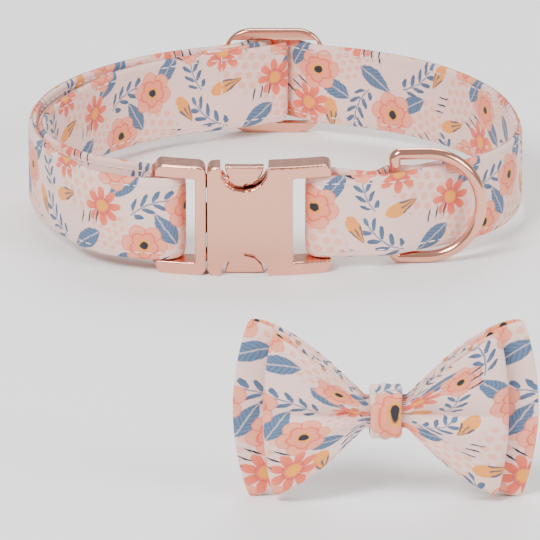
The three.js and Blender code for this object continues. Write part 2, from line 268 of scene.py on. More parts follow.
def section(sizes, height, along):
    """One ring round the strap: (across, out, face) with its edges rounded and its seams drawn in."""
    across, half = 20, sizes.thick / 2
    seam = height / 2 - sizes.seam_inset
    ring = []
    for face in (1, -1):
        for k in range(across + 1):
            q = face * (1 - 2 * k / across)
            z = height / 2 * math.sin(q * math.pi / 2)
            edge = (1 - abs(2 * z / height) ** 12) ** 0.5
            draw = math.exp(-((abs(z) - seam) / 0.55) ** 2)
            near_seam = math.exp(-((abs(z) - seam) / 2.2) ** 2)
            ripple = math.sin(along * 1.9 + 2.3 * math.sin(along * 0.31 + face)) * near_seam
            out = half * edge - sizes.pucker * draw * edge + 0.05 * ripple * edge - 0.02
            ring.append((z, face * out, face))
    return ring


def ring_faces(rows, ring, closed):
    faces = []
    for k in range(rows if closed else rows - 1):
        for j in range(ring):
            a, b = k * ring + j, k * ring + (j + 1) % ring
            faces.append((a, b, (k + 1) % rows * ring + (j + 1) % ring, (k + 1) % rows * ring + j))
    return faces


def face_out(piece):
    grid = bmesh.new()
    grid.from_mesh(piece.data)
    bmesh.ops.recalc_face_normals(grid, faces=grid.faces)
    grid.to_mesh(piece.data)
    grid.free()
    piece.data.update()


UV_MM = 0.01

# Where a closed band meets its own start: a jump in the print's place this long is the join
SEAM_JUMP = 20.0
SEAM_STEP = 0.3


def build_strap(sizes):
    low, high = STRAP_LOW.z / MM, STRAP_HIGH.z / MM
    height, middle = high - low, (high + low) / 2
    line = strap_line(sizes)
    vertices, coordinates = [], []
    for x, y, angle, along in line:
        for z, out, face in section(sizes, height, along):
            vertices.append((x - out * math.sin(angle), y + out * math.cos(angle), middle + z))
            coordinates.append((along, z + (0.0 if face > 0 else 37.0)))
    ring = len(vertices) // len(line)
    faces = ring_faces(len(line), ring, False)
    first, last = tuple(range(ring)), tuple(range((len(line) - 1) * ring, len(line) * ring))
    faces += [first[::-1], last]
    uvs = []
    for face in faces:
        spots = [coordinates[v] for v in face]
        base = spots[0][1]
        fixed = [(u, v if abs(v - base) < 20 else base) for u, v in spots]
        uvs.append([(u * UV_MM, v * UV_MM) for u, v in fixed])
    piece = new_piece("printed_strap", vertices, faces, uvs)
    face_out(piece)
    return piece


# The bow

def gather(sizes, x, y, share):
    """How the cloth lies: spread from the waist, with folds that push it back."""
    out = abs(x)
    start = (KNOT_HIGH.x - KNOT_LOW.x) / MM / 2 + 1.2
    waist, height = sizes.waist, (BOW_HIGH.z - BOW_LOW.z) / MM
    s = min(1.0, max(0.0, (out - start) / (sizes.back_half - start)))
    half = waist / 2 + (height - waist) / 2 * (1 - (1 - s) ** 1.5)
    z = share * half
    rise = min(1.0, max(0.0, (out - start) / 7))
    fade = rise * rise * (3 - 2 * rise) * (1 - s) ** 0.8
    crease = math.sqrt(z * z + 0.05)
    pleat = sizes.pleat * fade * math.exp(-crease / 2.1)
    fan = fade * (1 - s) ** 1.3
    folds = 0.5 * math.cos(share * 3.5 * math.pi) + 0.28 * math.sin(share * 9.0 + (0.8 if x > 0 else 2.1))
    soft = 0.35 * math.sin(0.21 * x + 3.1 * share) * rise
    swell = math.copysign(sizes.bulge * s * s * (1 - share * share), x)
    return x + swell, y + pleat + fan * folds + soft * 0.6, z


def build_wings(sizes, name, half, front, middle):
    """One looped layer: a closed band of plied cloth, its print running along the band."""
    around, up = sizes.around, sizes.up
    gap, corner_start, print_shift = 0.35, 4.4, 19.0 if front else 71.0
    centre = []
    for k in range(around):
        a = 2 * math.pi * k / around
        c, side = math.cos(a), -1 if math.sin(a) < 0 else 1
        x = half * math.copysign(abs(c) ** 0.8, c)
        rounded = (1 - abs(x / half) ** 5) ** 0.4
        away = min(1.0, max(0.0, (abs(x) - corner_start) / (half * 0.55)))
        face = 1.0 if (side < 0) == front else 0.0
        lift = (sizes.ply + gap) / 2 + sizes.opening * away * away * (3 - 2 * away) * face
        centre.append((x, middle + side * lift * rounded))
    bow_x, bow_y = (KNOT_LOW.x + KNOT_HIGH.x) / 2 / MM, (KNOT_LOW.y + KNOT_HIGH.y) / 2 / MM
    bow_z = (BOW_LOW.z + BOW_HIGH.z) / 2 / MM
    vertices, coordinates, total = [], [], 0.0
    for k, (x, y) in enumerate(centre):
        px, py = centre[k - 1]
        qx, qy = centre[(k + 1) % around]
        if k:
            total += math.hypot(x - px, y - py)
        size = math.hypot(qx - px, qy - py)
        nx, ny = (qy - py) / size, (px - qx) / size
        for outside in (True, False):
            for j in range(up + 1):
                share = (2 * j / up - 1) * (1 if outside else -1)
                thin = (1 - abs(share) ** 24) ** 0.5 * 0.8 + 0.2
                d = sizes.ply / 2 * thin * (1 if outside else -1)
                gx, gy, gz = gather(sizes, x + nx * d, y + ny * d, share)
                vertices.append((gx + bow_x, gy + bow_y, gz + bow_z))
                coordinates.append((total, share * 25.0))
    ring = 2 * (up + 1)
    faces = ring_faces(around, ring, True)
    uvs = []
    for face in faces:
        spots = [coordinates[v] for v in face]
        wide = max(u for u, _ in spots)
        joined = [(u if wide - u < SEAM_JUMP else wide + SEAM_STEP, v) for u, v in spots]
        uvs.append([(u * UV_MM + print_shift * UV_MM, v * UV_MM) for u, v in joined])
    piece = new_piece(name, vertices, faces, uvs)
    face_out(piece)
    return piece


def build_knot(sizes):
    """The band round the middle, waisted, with two soft folds along it."""
    low, high = KNOT_LOW / MM, KNOT_HIGH / MM
    middle, span = (low + high) / 2, high - low
    wall, around, across = 1.5, 120, 24
    vertices, coordinates = [], []
    for k in range(around):
        a = 2 * math.pi * k / around
        cy = math.copysign(abs(math.cos(a)) ** 0.5, math.cos(a))
        cz = math.copysign(abs(math.sin(a)) ** 0.5, math.sin(a))
        for outside in (True, False):
            for j in range(across + 1):
                share = (2 * j / across - 1) * (1 if outside else -1)
                fold = 0.22 * math.cos(share * 7.5 + 0.5 * math.sin(a * 2)) * (1 - share ** 4)
                edge = (1 - abs(share) ** 10) ** 0.5
                inset = 0.25 + 0.35 * share ** 4 - fold + (1 - edge) * 0.6 if outside else wall
                waist = 0.93 + 0.07 * abs(cz) ** 3
                vertices.append((middle.x + share * span.x / 2 * waist,
                                 middle.y + (span.y / 2 - inset) * cy, middle.z + (span.z / 2 - inset) * cz))
                coordinates.append((share * span.x / 2 + 44, a * 6.5 + 11))
    ring = 2 * (across + 1)
    faces = ring_faces(around, ring, True)
    uvs = []
    for face in faces:
        spots = [coordinates[v] for v in face]
        top = max(v for _, v in spots)
        joined = [(u, v if top - v < SEAM_JUMP else top + SEAM_STEP) for u, v in spots]
        uvs.append([(u * UV_MM, v * UV_MM) for u, v in joined])
    piece = new_piece("bow_knot_band", vertices, faces, uvs)
    face_out(piece)
    return piece


# Metal

def build_ring(sizes):
    """The D-ring as one round wire, walked once round."""
    radius = sizes.ring_wire / 2
    turn, ring_reach, ring_height, corner = math.radians(3), 28.5, 35.0, 1.9
    reach = ring_reach - sizes.ring_wire
    half = ring_height / 2 - radius
    walk = []

    def arc(u, z, r, start, stop, count):
        for k in range(count + 1):
            a = math.radians(start + (stop - start) * k / count)
            walk.append((u + r * math.cos(a), z + r * math.sin(a)))

    arc(corner, -half + corner, corner, 180, 270, 10)
    arc(reach - half, 0.0, half, -90, 90, 72)
    arc(corner, half - corner, corner, 90, 180, 10)
    for k in range(1, 24):
        walk.append((0.0, half - corner - (2 * half - 2 * corner) * k / 24))
    sides, count = 20, len(walk)
    vertices = []
    for k, (u, z) in enumerate(walk):
        pu, pz = walk[k - 1]
        qu, qz = walk[(k + 1) % count]
        size = math.hypot(qu - pu, qz - pz)
        nu, nz = (qz - pz) / size, (pu - qu) / size
        for j in range(sides):
            b = 2 * math.pi * j / sides
            out, side = radius * math.cos(b), radius * math.sin(b)
            uu, zz = u + nu * out, z + nz * out
            vertices.append((RING_HINGE.x + uu * math.cos(turn) - side * math.sin(turn),
                             RING_HINGE.y + uu * math.sin(turn) + side * math.cos(turn), RING_HINGE.z + zz))
    piece = new_piece("d_ring_wire", vertices, ring_faces(count, sides, True))
    face_out(piece)
    return piece


def cast(node, name, voxel, rounds):
    """A copy of a construction solid with its edges softened as a casting's are."""
    source = frame["nodes"][node]
    mesh = source.data.copy()
    grid = bmesh.new()
    grid.from_mesh(mesh)
    bmesh.ops.remove_doubles(grid, verts=grid.verts, dist=1e-6)
    grid.to_mesh(mesh)
    grid.free()
    piece = bpy.data.objects.new(name, mesh)
    bpy.context.scene.collection.objects.link(piece)
    remesh = piece.modifiers.new("skin", "REMESH")
    remesh.mode = "VOXEL"
    remesh.voxel_size = voxel * MM
    remesh.use_smooth_shade = True
    smooth = piece.modifiers.new("soften", "SMOOTH")
    smooth.factor = 0.5
    smooth.iterations = rounds
    solid = bpy.data.meshes.new_from_object(piece.evaluated_get(bpy.context.evaluated_depsgraph_get()))
    piece.modifiers.clear()
    piece.data = solid
    solid.name = name
    solid.polygons.foreach_set("use_smooth", [True] * len(solid.polygons))
    return piece


# Materials: a formula becomes nodes

class Wire:
    """A number in a node tree, so that a pattern can be written as a sum."""

    def __init__(self, tree, socket):
        self.tree, self.socket = tree, socket

    def _math(self, operation, *others):
        node = self.tree.nodes.new("ShaderNodeMath")
        node.operation = operation
        for slot, value in zip(node.inputs, (self, *others)):
            if isinstance(value, Wire):
                self.tree.links.new(value.socket, slot)
            else:
                slot.default_value = value
        return Wire(self.tree, node.outputs[0])

    def __add__(self, other):
        return self._math("ADD", other)

    def __sub__(self, other):
        return self._math("SUBTRACT", other)

    def __mul__(self, other):
        return self._math("MULTIPLY", other)

    def __truediv__(self, other):
        return self._math("DIVIDE", other)

    def times_plus(self, factor, term):
        return self._math("MULTIPLY_ADD", factor, term)

    def power(self, other):
        return self._math("POWER", other)

    def absolute(self):
        return self._math("ABSOLUTE")

    def cosine(self):
        return self._math("COSINE")

    def wrap(self, high, low):
        return self._math("WRAP", high, low)

    def least(self, other):
        return self._math("MINIMUM", other)

    def most(self, other):
        return self._math("MAXIMUM", other)

    def edge(self, soft=0.05):
        """1 where this is above 0, with a soft step."""
        return self.times_plus(1 / soft, 0.5).least(1.0).most(0.0)


def minus(value, wire):
    return wire.times_plus(-1.0, value)


def mix(tree, low, high, share):
    node = tree.nodes.new("ShaderNodeMix")
    node.data_type = "RGBA"
    for slot, value in ((0, share), (6, low), (7, high)):
        if isinstance(value, Wire):
            tree.links.new(value.socket, node.inputs[slot])
        elif isinstance(value, bpy.types.NodeSocket):
            tree.links.new(value, node.inputs[slot])
        elif slot:
            node.inputs[slot].default_value = (*value, 1.0)
        else:
            node.inputs[slot].default_value = value
    return node.outputs[2]


def motif_group(name, draw):
    """A node group that draws one motif of radius 1: a place in, a colour and its mask out."""
    tree = bpy.data.node_groups.new(name, "ShaderNodeTree")
    tree.interface.new_socket("Place", in_out="INPUT", socket_type="NodeSocketVector")
    tree.interface.new_socket("Colour", in_out="OUTPUT", socket_type="NodeSocketColor")
    tree.interface.new_socket("Mask", in_out="OUTPUT", socket_type="NodeSocketFloat")
    start, stop = tree.nodes.new("NodeGroupInput"), tree.nodes.new("NodeGroupOutput")
    split = tree.nodes.new("ShaderNodeSeparateXYZ")
    tree.links.new(start.outputs["Place"], split.inputs[0])
    x, y = Wire(tree, split.outputs[0]), Wire(tree, split.outputs[1])
    shade, mask = draw(tree, x, y)
    tree.links.new(shade, stop.inputs["Colour"])
    tree.links.new(mask.socket, stop.inputs["Mask"])
    return tree


def polar(x, y):
    return (x * x + y * y)._math("SQRT"), y._math("ARCTAN2", x)


def draw_blossom(tints):
    """A layered bloom: six broad petals, five inner ones, a gold-rimmed heart."""
    def draw(tree, x, y):
        r, a = polar(x, y)
        outer = (a * 3.0).cosine().absolute().times_plus(0.2, 0.8)
        rim = minus(1.0, ((outer - r).absolute() - 0.05).edge(0.04))
        gap = minus(1.0, ((a * 3.0).cosine().absolute() - 0.14).edge(0.12)) * (r - 0.5).edge(0.1)
        inner = ((a + 0.5) * 2.5).cosine().absolute().times_plus(0.16, 0.46)
        inner_rim = minus(1.0, ((inner - r).absolute() - 0.04).edge(0.04))
        shade = mix(tree, tints.peach, tints.blush, r * 0.55)
        shade = mix(tree, shade, tints.coral, (gap * 0.75).most(rim * 0.55))
        shade = mix(tree, shade, tints.peach, (inner - r).edge(0.05) * 0.8)
        shade = mix(tree, shade, tints.coral, inner_rim * 0.85)
        shade = mix(tree, shade, tints.gold, minus(0.27, r).edge(0.04))
        shade = mix(tree, shade, tints.ink, minus(0.18, r).edge(0.04))
        return shade, (outer - r).edge(0.05)
    return draw


def draw_daisy(tints):
    """An open bloom of eight coral petals with a gold middle."""
    def draw(tree, x, y):
        r, a = polar(x, y)
        petal = (a * 4.0).cosine().absolute().power(0.55).times_plus(0.72, 0.28)
        shade = mix(tree, tints.coral, tints.peach, (r * 0.75).power(2.0))
        ring = minus(1.0, ((r - 0.42).absolute() - 0.035).edge(0.03))
        shade = mix(tree, shade, tints.deep_slate, ring * 0.35)
        shade = mix(tree, shade, tints.gold, minus(0.3, r).edge(0.05))
        return shade, (petal - r).edge(0.06)
    return draw


def draw_leaf(tints):
    """A broad slate leaf with a pale midrib and dark side veins."""
    def draw(tree, x, y):
        side = y.absolute()
        width = minus(1.0, x * x) * x.times_plus(-0.12, 0.42).most(0.2)
        vein = ((x + side * -1.1) * 4.2).wrap(1.0, 0.0)
        dark = minus(1.0, ((vein - 0.5).absolute() - 0.1).edge(0.12)) * (side - 0.05).edge(0.05)
        shade = mix(tree, tints.slate, tints.deep_slate, dark * 0.8)
        pale = minus(0.028, side).edge(0.03)
        shade = mix(tree, shade, tints.ground, pale * 0.55)
        return shade, (width - side).edge(0.05)
    return draw


def draw_sprig(tints):
    """A curved stem with paired leaflets."""
    def draw(tree, x, y):
        bent = y - x * x * 0.22
        side = bent.absolute()
        cell = (x - side * 0.9).wrap(0.24, -0.24)
        leaflet = minus(1.0, (cell / 0.13).power(2.0) + ((side - 0.24) / 0.2).power(2.0))
        inside = minus(0.86, x.absolute()).edge(0.04)
        stem = minus(0.026, side)
        mask = (leaflet.edge(0.3) * inside).most(stem.edge(0.03) * minus(1.0, x.absolute()).edge(0.03))
        tip = minus(1.0, ((x - 0.98) / 0.17).power(2.0) + (bent / 0.1).power(2.0)).edge(0.3)
        shade = mix(tree, tints.slate, tints.deep_slate, (side * 1.6).least(0.6))
        return shade, mask.most(tip)
    return draw


def draw_bud(tints):
    """A gold bud held in three slate sepals."""
    def draw(tree, x, y):
        width = minus(1.0, x * x).most(0.0).power(0.6) * x.times_plus(0.16, 0.4) - 0.03
        split = minus(0.045, (y.absolute() - x.times_plus(0.12, 0.06)).absolute()).edge(0.04)
        split = split * (x - 0.1).edge(0.2)
        ray = y._math("ARCTAN2", x + 1.02).absolute()
        sepal = minus(1.0, ((ray - 0.3).absolute() - 0.07).edge(0.05)).most(minus(0.06, ray).edge(0.05))
        sepal = sepal * minus(0.1, x).edge(0.1)
        shade = mix(tree, tints.gold, tints.peach, split * 0.7)
        shade = mix(tree, shade, tints.deep_slate, sepal * 0.9)
        return shade, (width - y.absolute()).edge(0.05)
    return draw


def draw_berries(tints):
    """A spray of faint round berries."""
    def draw(tree, x, y):
        r, _ = polar(x, y)
        row = y / 0.34
        shift = row._math("ROUND").absolute().wrap(2.0, 0.0) * 0.19
        cx, cy = (x + shift).wrap(0.19, -0.19), y.wrap(0.17, -0.17)
        dot = minus(0.125, (cx * cx + cy * cy)._math("SQRT")).edge(0.03)
        shade = mix(tree, tints.blush, tints.peach, 0.25)
        return shade, dot * minus(0.95, r).edge(0.1) * 0.75
    return draw


def draw_seeds(tints):
    """Three slim ink seeds, each over a lilac wash."""
    def draw(tree, x, y):
        cell, tilt = y.wrap(0.36, -0.36), y._math("ROUND") * 0.3
        q = x - tilt
        seed = minus(1.0, (q / 0.62).power(2.0) + (cell / 0.075).power(2.0)).edge(0.3)
        wash = minus(1.0, ((q + 0.12) / 0.7).power(2.0) + ((cell + 0.07) / 0.15).power(2.0)).edge(0.4)
        inside = minus(1.04, y.absolute()).edge(0.02)
        shade = mix(tree, (0.55, 0.46, 0.55), tints.ink, seed)
        return shade, (seed.most(wash * 0.45)) * inside
    return draw


# One repeat of the print, charted: motif, place in mm, turn in degrees, radius in mm
REPEAT = (66.0, 50.0)
MOTIF_SCALE = 1.22
CHART = (
    ("berries", 9.0, 41.0, 10, 7.0), ("berries", 45.0, 8.0, 70, 7.5), ("berries", 60.0, 31.0, 35, 6.5),
    ("berries", 25.0, 22.0, 50, 6.5), ("berries", 33.0, 46.0, 15, 5.5),
    ("sprig", 20.0, 5.5, 160, 6.0), ("sprig", 57.0, 43.0, 40, 6.0), ("sprig", 35.0, 32.0, 250, 5.6),
    ("sprig", 3.0, 22.0, 100, 5.6), ("sprig", 47.0, 22.5, -15, 5.4), ("sprig", 62.0, 8.0, 75, 5.4),
    ("leaf", 15.5, 17.0, 205, 5.4), ("leaf", 4.5, 9.8, 130, 4.8), ("leaf", 36.5, 20.5, 75, 4.9),
    ("leaf", 27.0, 37.5, 150, 5.2), ("leaf", 53.5, 35.0, -150, 5.0), ("leaf", 41.0, 41.5, -35, 5.2),
    ("leaf", 58.0, 19.5, 15, 4.8), ("leaf", 28.5, 10.0, -40, 5.0), ("leaf", 16.5, 47.5, 60, 4.8),
    ("bud", 26.5, 29.0, 95, 4.2), ("bud", 51.0, 2.5, -20, 4.4), ("bud", 5.0, 32.5, 200, 4.2),
    ("bud", 64.5, 46.5, 60, 4.0),
    ("daisy", 19.5, 31.5, 20, 5.2), ("daisy", 52.0, 13.5, 5, 5.4), ("daisy", 35.0, 3.0, 40, 4.8),
    ("blossom", 10.0, 3.5, 15, 5.6), ("blossom", 47.0, 31.0, 50, 6.0), ("blossom", 31.0, 14.8, 80, 5.2),
    ("blossom", 11.5, 24.5, 35, 4.6), ("blossom", 22.5, 42.5, 5, 5.4), ("blossom", 63.0, 16.0, 25, 4.6),
    ("seeds", 43.5, 16.5, 60, 3.0), ("seeds", 15.0, 36.5, -30, 3.0), ("seeds", 1.0, 15.5, 20, 2.8),
    ("seeds", 39.5, 49.0, 100, 2.8), ("seeds", 57.5, 25.5, 130, 2.6), ("seeds", 66.0, 38.0, 0, 2.6),
)


def print_colour(tree, place, tints):
    """Folds every charted motif onto the ground, each wrapped into its repeat."""
    draws = {"blossom": draw_blossom, "daisy": draw_daisy, "leaf": draw_leaf, "sprig": draw_sprig,
             "bud": draw_bud, "berries": draw_berries, "seeds": draw_seeds}
    groups = {name: motif_group("print " + name, maker(tints)) for name, maker in draws.items()}
    shade = tuple(tints.ground)
    for name, x, y, turn, radius in CHART:
        move = tree.nodes.new("ShaderNodeVectorMath")
        move.operation = "SUBTRACT"
        tree.links.new(place, move.inputs[0])
        move.inputs[1].default_value = (x, y, 0)
        fold = tree.nodes.new("ShaderNodeVectorMath")
        fold.operation = "WRAP"
        tree.links.new(move.outputs[0], fold.inputs[0])
        fold.inputs[1].default_value = (REPEAT[0] / 2, REPEAT[1] / 2, 1)
        fold.inputs[2].default_value = (-REPEAT[0] / 2, -REPEAT[1] / 2, -1)
        spin = tree.nodes.new("ShaderNodeMapping")
        spin.vector_type = "TEXTURE"
        spin.inputs["Rotation"].default_value = (0, 0, math.radians(turn))
        spin.inputs["Scale"].default_value = (radius * MOTIF_SCALE, radius * MOTIF_SCALE, 1)
        tree.links.new(fold.outputs[0], spin.inputs["Vector"])
        group = tree.nodes.new("ShaderNodeGroup")
        group.node_tree = groups[name]
        tree.links.new(spin.outputs[0], group.inputs["Place"])
        shade = mix(tree, shade, group.outputs["Colour"], Wire(tree, group.outputs["Mask"]))
    return shade


def cotton_material(tints):
    material = bpy.data.materials.new("printed cotton")
    material.use_nodes = True
    tree = material.node_tree
    shader = tree.nodes["Principled BSDF"]
    cloth = tree.nodes.new("ShaderNodeUVMap")
    cloth.uv_map = "cloth"
    place = tree.nodes.new("ShaderNodeVectorMath")
    place.operation = "SCALE"
    place.inputs["Scale"].default_value = 1 / UV_MM
    tree.links.new(cloth.outputs[0], place.inputs[0])
    noise = tree.nodes.new("ShaderNodeTexNoise")
    noise.inputs["Scale"].default_value = 0.55
    noise.inputs["Detail"].default_value = 3
    tree.links.new(place.outputs[0], noise.inputs["Vector"])
    wobble = tree.nodes.new("ShaderNodeVectorMath")
    wobble.operation = "MULTIPLY_ADD"
    tree.links.new(noise.outputs["Color"], wobble.inputs[0])
    wobble.inputs[1].default_value = (0.9, 0.9, 0)
    tree.links.new(place.outputs[0], wobble.inputs[2])
    shade = print_colour(tree, wobble.outputs[0], tints)
    split = tree.nodes.new("ShaderNodeSeparateXYZ")
    tree.links.new(place.outputs[0], split.inputs[0])
    thread_count = 2 * math.pi / 0.42
    warp = (Wire(tree, split.outputs[0]) * thread_count).cosine()
    weft = (Wire(tree, split.outputs[1]) * thread_count).cosine()
    weave = (warp * weft).times_plus(0.5, 0.5)
    slub = tree.nodes.new("ShaderNodeTexNoise")
    slub.inputs["Scale"].default_value = 1.7
    slub.inputs["Detail"].default_value = 4
    tree.links.new(place.outputs[0], slub.inputs["Vector"])
    tone = Wire(tree, slub.outputs["Fac"]).times_plus(0.14, 0.9) + weave * 0.05
    tint = tree.nodes.new("ShaderNodeVectorMath")
    tint.operation = "SCALE"
    tree.links.new(shade, tint.inputs[0])
    tree.links.new(tone.socket, tint.inputs["Scale"])
    tree.links.new(tint.outputs[0], shader.inputs["Base Color"])
    height = weave * 0.6 + Wire(tree, slub.outputs["Fac"]) * 0.9
    bump = tree.nodes.new("ShaderNodeBump")
    bump.inputs["Distance"].default_value = 0.12 * MM
    bump.inputs["Strength"].default_value = 0.7
    tree.links.new(height.socket, bump.inputs["Height"])
    tree.links.new(bump.outputs[0], shader.inputs["Normal"])
    shader.inputs["Roughness"].default_value = 0.86
    shader.inputs["Sheen Weight"].default_value = 0.12
    shader.inputs["Sheen Roughness"].default_value = 0.5
    return material


def metal_material(tints):
    material = bpy.data.materials.new("rose gold plating")
    material.use_nodes = True
    tree = material.node_tree
    shader = tree.nodes["Principled BSDF"]
    where = tree.nodes.new("ShaderNodeTexCoord")
    fine = tree.nodes.new("ShaderNodeTexNoise")
    fine.inputs["Scale"].default_value = 420
    fine.inputs["Detail"].default_value = 5
    tree.links.new(where.outputs["Object"], fine.inputs["Vector"])
    rough = Wire(tree, fine.outputs["Fac"]).times_plus(0.1, 0.1)
    tree.links.new(rough.socket, shader.inputs["Roughness"])
    worn = Wire(tree, fine.outputs["Fac"]).times_plus(0.3, 0.0)
    tree.links.new(mix(tree, tuple(tints.metal), (0.88, 0.48, 0.36), worn), shader.inputs["Base Color"])
    bump = tree.nodes.new("ShaderNodeBump")
    bump.inputs["Distance"].default_value = 0.02 * MM
    bump.inputs["Strength"].default_value = 0.25
    tree.links.new(fine.outputs["Fac"], bump.inputs["Height"])
    tree.links.new(bump.outputs[0], shader.inputs["Normal"])
    shader.inputs["Metallic"].default_value = 1.0
    return material


def thread_material(tints):
    material = bpy.data.materials.new("sewing thread")
    material.use_nodes = True
    tree = material.node_tree
    shader = tree.nodes["Principled BSDF"]
    where = tree.nodes.new("ShaderNodeTexCoord")
    twist = tree.nodes.new("ShaderNodeTexNoise")
    twist.inputs["Scale"].default_value = 2600
    tree.links.new(where.outputs["Object"], twist.inputs["Vector"])
    shade = mix(tree, tuple(tints.thread), (0.7, 0.62, 0.58), Wire(tree, twist.outputs["Fac"]) * 0.4)
    tree.links.new(shade, shader.inputs["Base Color"])
    shader.inputs["Roughness"].default_value = 0.75
    return material


# Stitches by Geometry Nodes

def stitch_tree():
    """Stitches along seam lines: equal steps, one short rounded thread at each, turned along the line."""
    tree = bpy.data.node_groups.new("running stitch", "GeometryNodeTree")
    for name, kind in (("Seams", "NodeSocketGeometry"), ("Pitch", "NodeSocketFloat"),
                       ("Stitch Length", "NodeSocketFloat"), ("Thread", "NodeSocketFloat"),
                       ("Material", "NodeSocketMaterial")):
        tree.interface.new_socket(name, in_out="INPUT", socket_type=kind)
    tree.interface.new_socket("Stitches", in_out="OUTPUT", socket_type="NodeSocketGeometry")
    start, stop = tree.nodes.new("NodeGroupInput"), tree.nodes.new("NodeGroupOutput")
    link = tree.links.new
    curve = tree.nodes.new("GeometryNodeMeshToCurve")
    link(start.outputs["Seams"], curve.inputs["Mesh"])
    points = tree.nodes.new("GeometryNodeCurveToPoints")
    points.mode = "LENGTH"
    link(curve.outputs[0], points.inputs["Curve"])
    link(start.outputs["Pitch"], points.inputs["Length"])
    ball = tree.nodes.new("GeometryNodeMeshUVSphere")
    ball.inputs["Segments"].default_value = 7
    ball.inputs["Rings"].default_value = 5
    ball.inputs["Radius"].default_value = 0.5
    size = tree.nodes.new("ShaderNodeCombineXYZ")
    link(start.outputs["Thread"], size.inputs[0])
    link(start.outputs["Thread"], size.inputs[1])
    link(start.outputs["Stitch Length"], size.inputs[2])
    place = tree.nodes.new("GeometryNodeInstanceOnPoints")
    link(points.outputs["Points"], place.inputs["Points"])
    link(ball.outputs["Mesh"], place.inputs["Instance"])
    align = tree.nodes.new("FunctionNodeAlignRotationToVector")
    align.axis = "Z"
    link(points.outputs["Tangent"], align.inputs["Vector"])
    link(align.outputs[0], place.inputs["Rotation"])
    link(size.outputs[0], place.inputs["Scale"])
    real = tree.nodes.new("GeometryNodeRealizeInstances")
    link(place.outputs[0], real.inputs[0])
    paint = tree.nodes.new("GeometryNodeSetMaterial")
    link(real.outputs[0], paint.inputs["Geometry"])
    link(start.outputs["Material"], paint.inputs["Material"])
    link(paint.outputs[0], stop.inputs[0])
    return tree


def seam_lines(sizes):
    """The running seams near both edges of both faces, and the seams across, as lists of points."""
    line = strap_line(sizes)
    low, high = STRAP_LOW.z / MM, STRAP_HIGH.z / MM
    proud = sizes.thick / 2 - sizes.pucker + 0.1
    seams = []
    for face in (1, -1):
        for z in (low + sizes.seam_inset, high - sizes.seam_inset):
            seams.append([(x - face * proud * math.sin(a), y + face * proud * math.cos(a), z)
                          for x, y, a, _ in line[2:-2]])

    def across(along, face, lean=0.0):
        x, y, a, _ = min(line, key=lambda p: abs(p[3] - along))
        px, py = x - face * (proud + 0.12) * math.sin(a), y + face * (proud + 0.12) * math.cos(a)
        top, bottom = high - sizes.seam_inset, low + sizes.seam_inset
        slide = lean / 2
        seams.append([(px - slide * math.cos(a), py - slide * math.sin(a), bottom),
                      (px + slide * math.cos(a), py + slide * math.sin(a), top)])

    total = line[-1][3]
    across(TAIL_SEAM, 1)
    for back_off in END_SEAMS:
        across(total - back_off, 1, END_LEAN)
    across(total - TACK_SEAM, 1)
    across(INNER_SEAM, 1)
    for seam_x in FRONT_SEAMS_X:
        near = [p for p in line if abs(p[0] - (seam_x + SHIFT_X)) < 1.2 and p[3] > total * 0.5]
        across(min(near, key=lambda p: p[1])[3], -1)
    return seams


def build_stitches(sizes, material):
    vertices, edges = [], []
    for seam in seam_lines(sizes):
        first = len(vertices)
        vertices += [(x * MM, y * MM, z * MM) for x, y, z in seam]
        edges += [(k, k + 1) for k in range(first, len(vertices) - 1)]
    mesh = bpy.data.meshes.new("seam lines")
    mesh.from_pydata(vertices, edges, [])
    rails = bpy.data.objects.new("seam_rails", mesh)
    bpy.context.scene.collection.objects.link(rails)
    modifier = rails.modifiers.new("stitches", "NODES")
    modifier.node_group = stitch_tree()
    values = {"Pitch": sizes.stitch_pitch * MM, "Stitch Length": sizes.stitch_length * MM,
              "Thread": sizes.thread * MM, "Material": material}
    for item in modifier.node_group.interface.items_tree:
        if item.in_out == "INPUT" and item.name in values:
            modifier[item.identifier] = values[item.name]
    evaluated = rails.evaluated_get(bpy.context.evaluated_depsgraph_get())
    stitches = bpy.data.meshes.new_from_object(evaluated)
    bpy.data.objects.remove(rails)
    stitches.polygons.foreach_set("use_smooth", [True] * len(stitches.polygons))
    piece = bpy.data.objects.new("seam_stitches", stitches)
    bpy.context.scene.collection.objects.link(piece)
    return piece


def shared(name, maker):
    """One material for all the pieces that share a finish."""
    _, _, tints = settings()
    return bpy.data.materials.get(name) or maker(tints)


class COLLAR_OT_strap(Operator):
    """Sweep the folded cotton strap along its loop."""
    bl_idname = "collar.strap"
    bl_label = "Strap"

    def execute(self, context):
        sizes, _, _ = settings()
        finish_piece(build_strap(sizes), shared("printed cotton", cotton_material), "collar",
                     ("strap",))
        return {"FINISHED"}


class COLLAR_OT_stitches(Operator):
    """Sew the running seams and the seams across."""
    bl_idname = "collar.stitches"
    bl_label = "Stitches"

    def execute(self, context):
        sizes, _, _ = settings()
        thread = shared("sewing thread", thread_material)
        finish_piece(build_stitches(sizes, thread), thread, "collar")
        return {"FINISHED"}


class COLLAR_OT_fittings(Operator):
    """Cast the buckle halves, the slider and the D-ring."""
    bl_idname = "collar.fittings"
    bl_label = "Metal fittings"

    def execute(self, context):
        sizes, _, _ = settings()
        metal = shared("rose gold plating", metal_material)
        for node, name, voxel, rounds in (("buckle_prong_half", "buckle_prong_cast", 0.26, 6),
                                          ("buckle_socket_half", "buckle_socket_cast", 0.3, 5),
                                          ("slider", "slider_cast", 0.24, 10)):
            finish_piece(cast(node, name, voxel, rounds), metal, "collar", (node,))
        finish_piece(build_ring(sizes), metal, "ring", ("d_ring",))
        return {"FINISHED"}


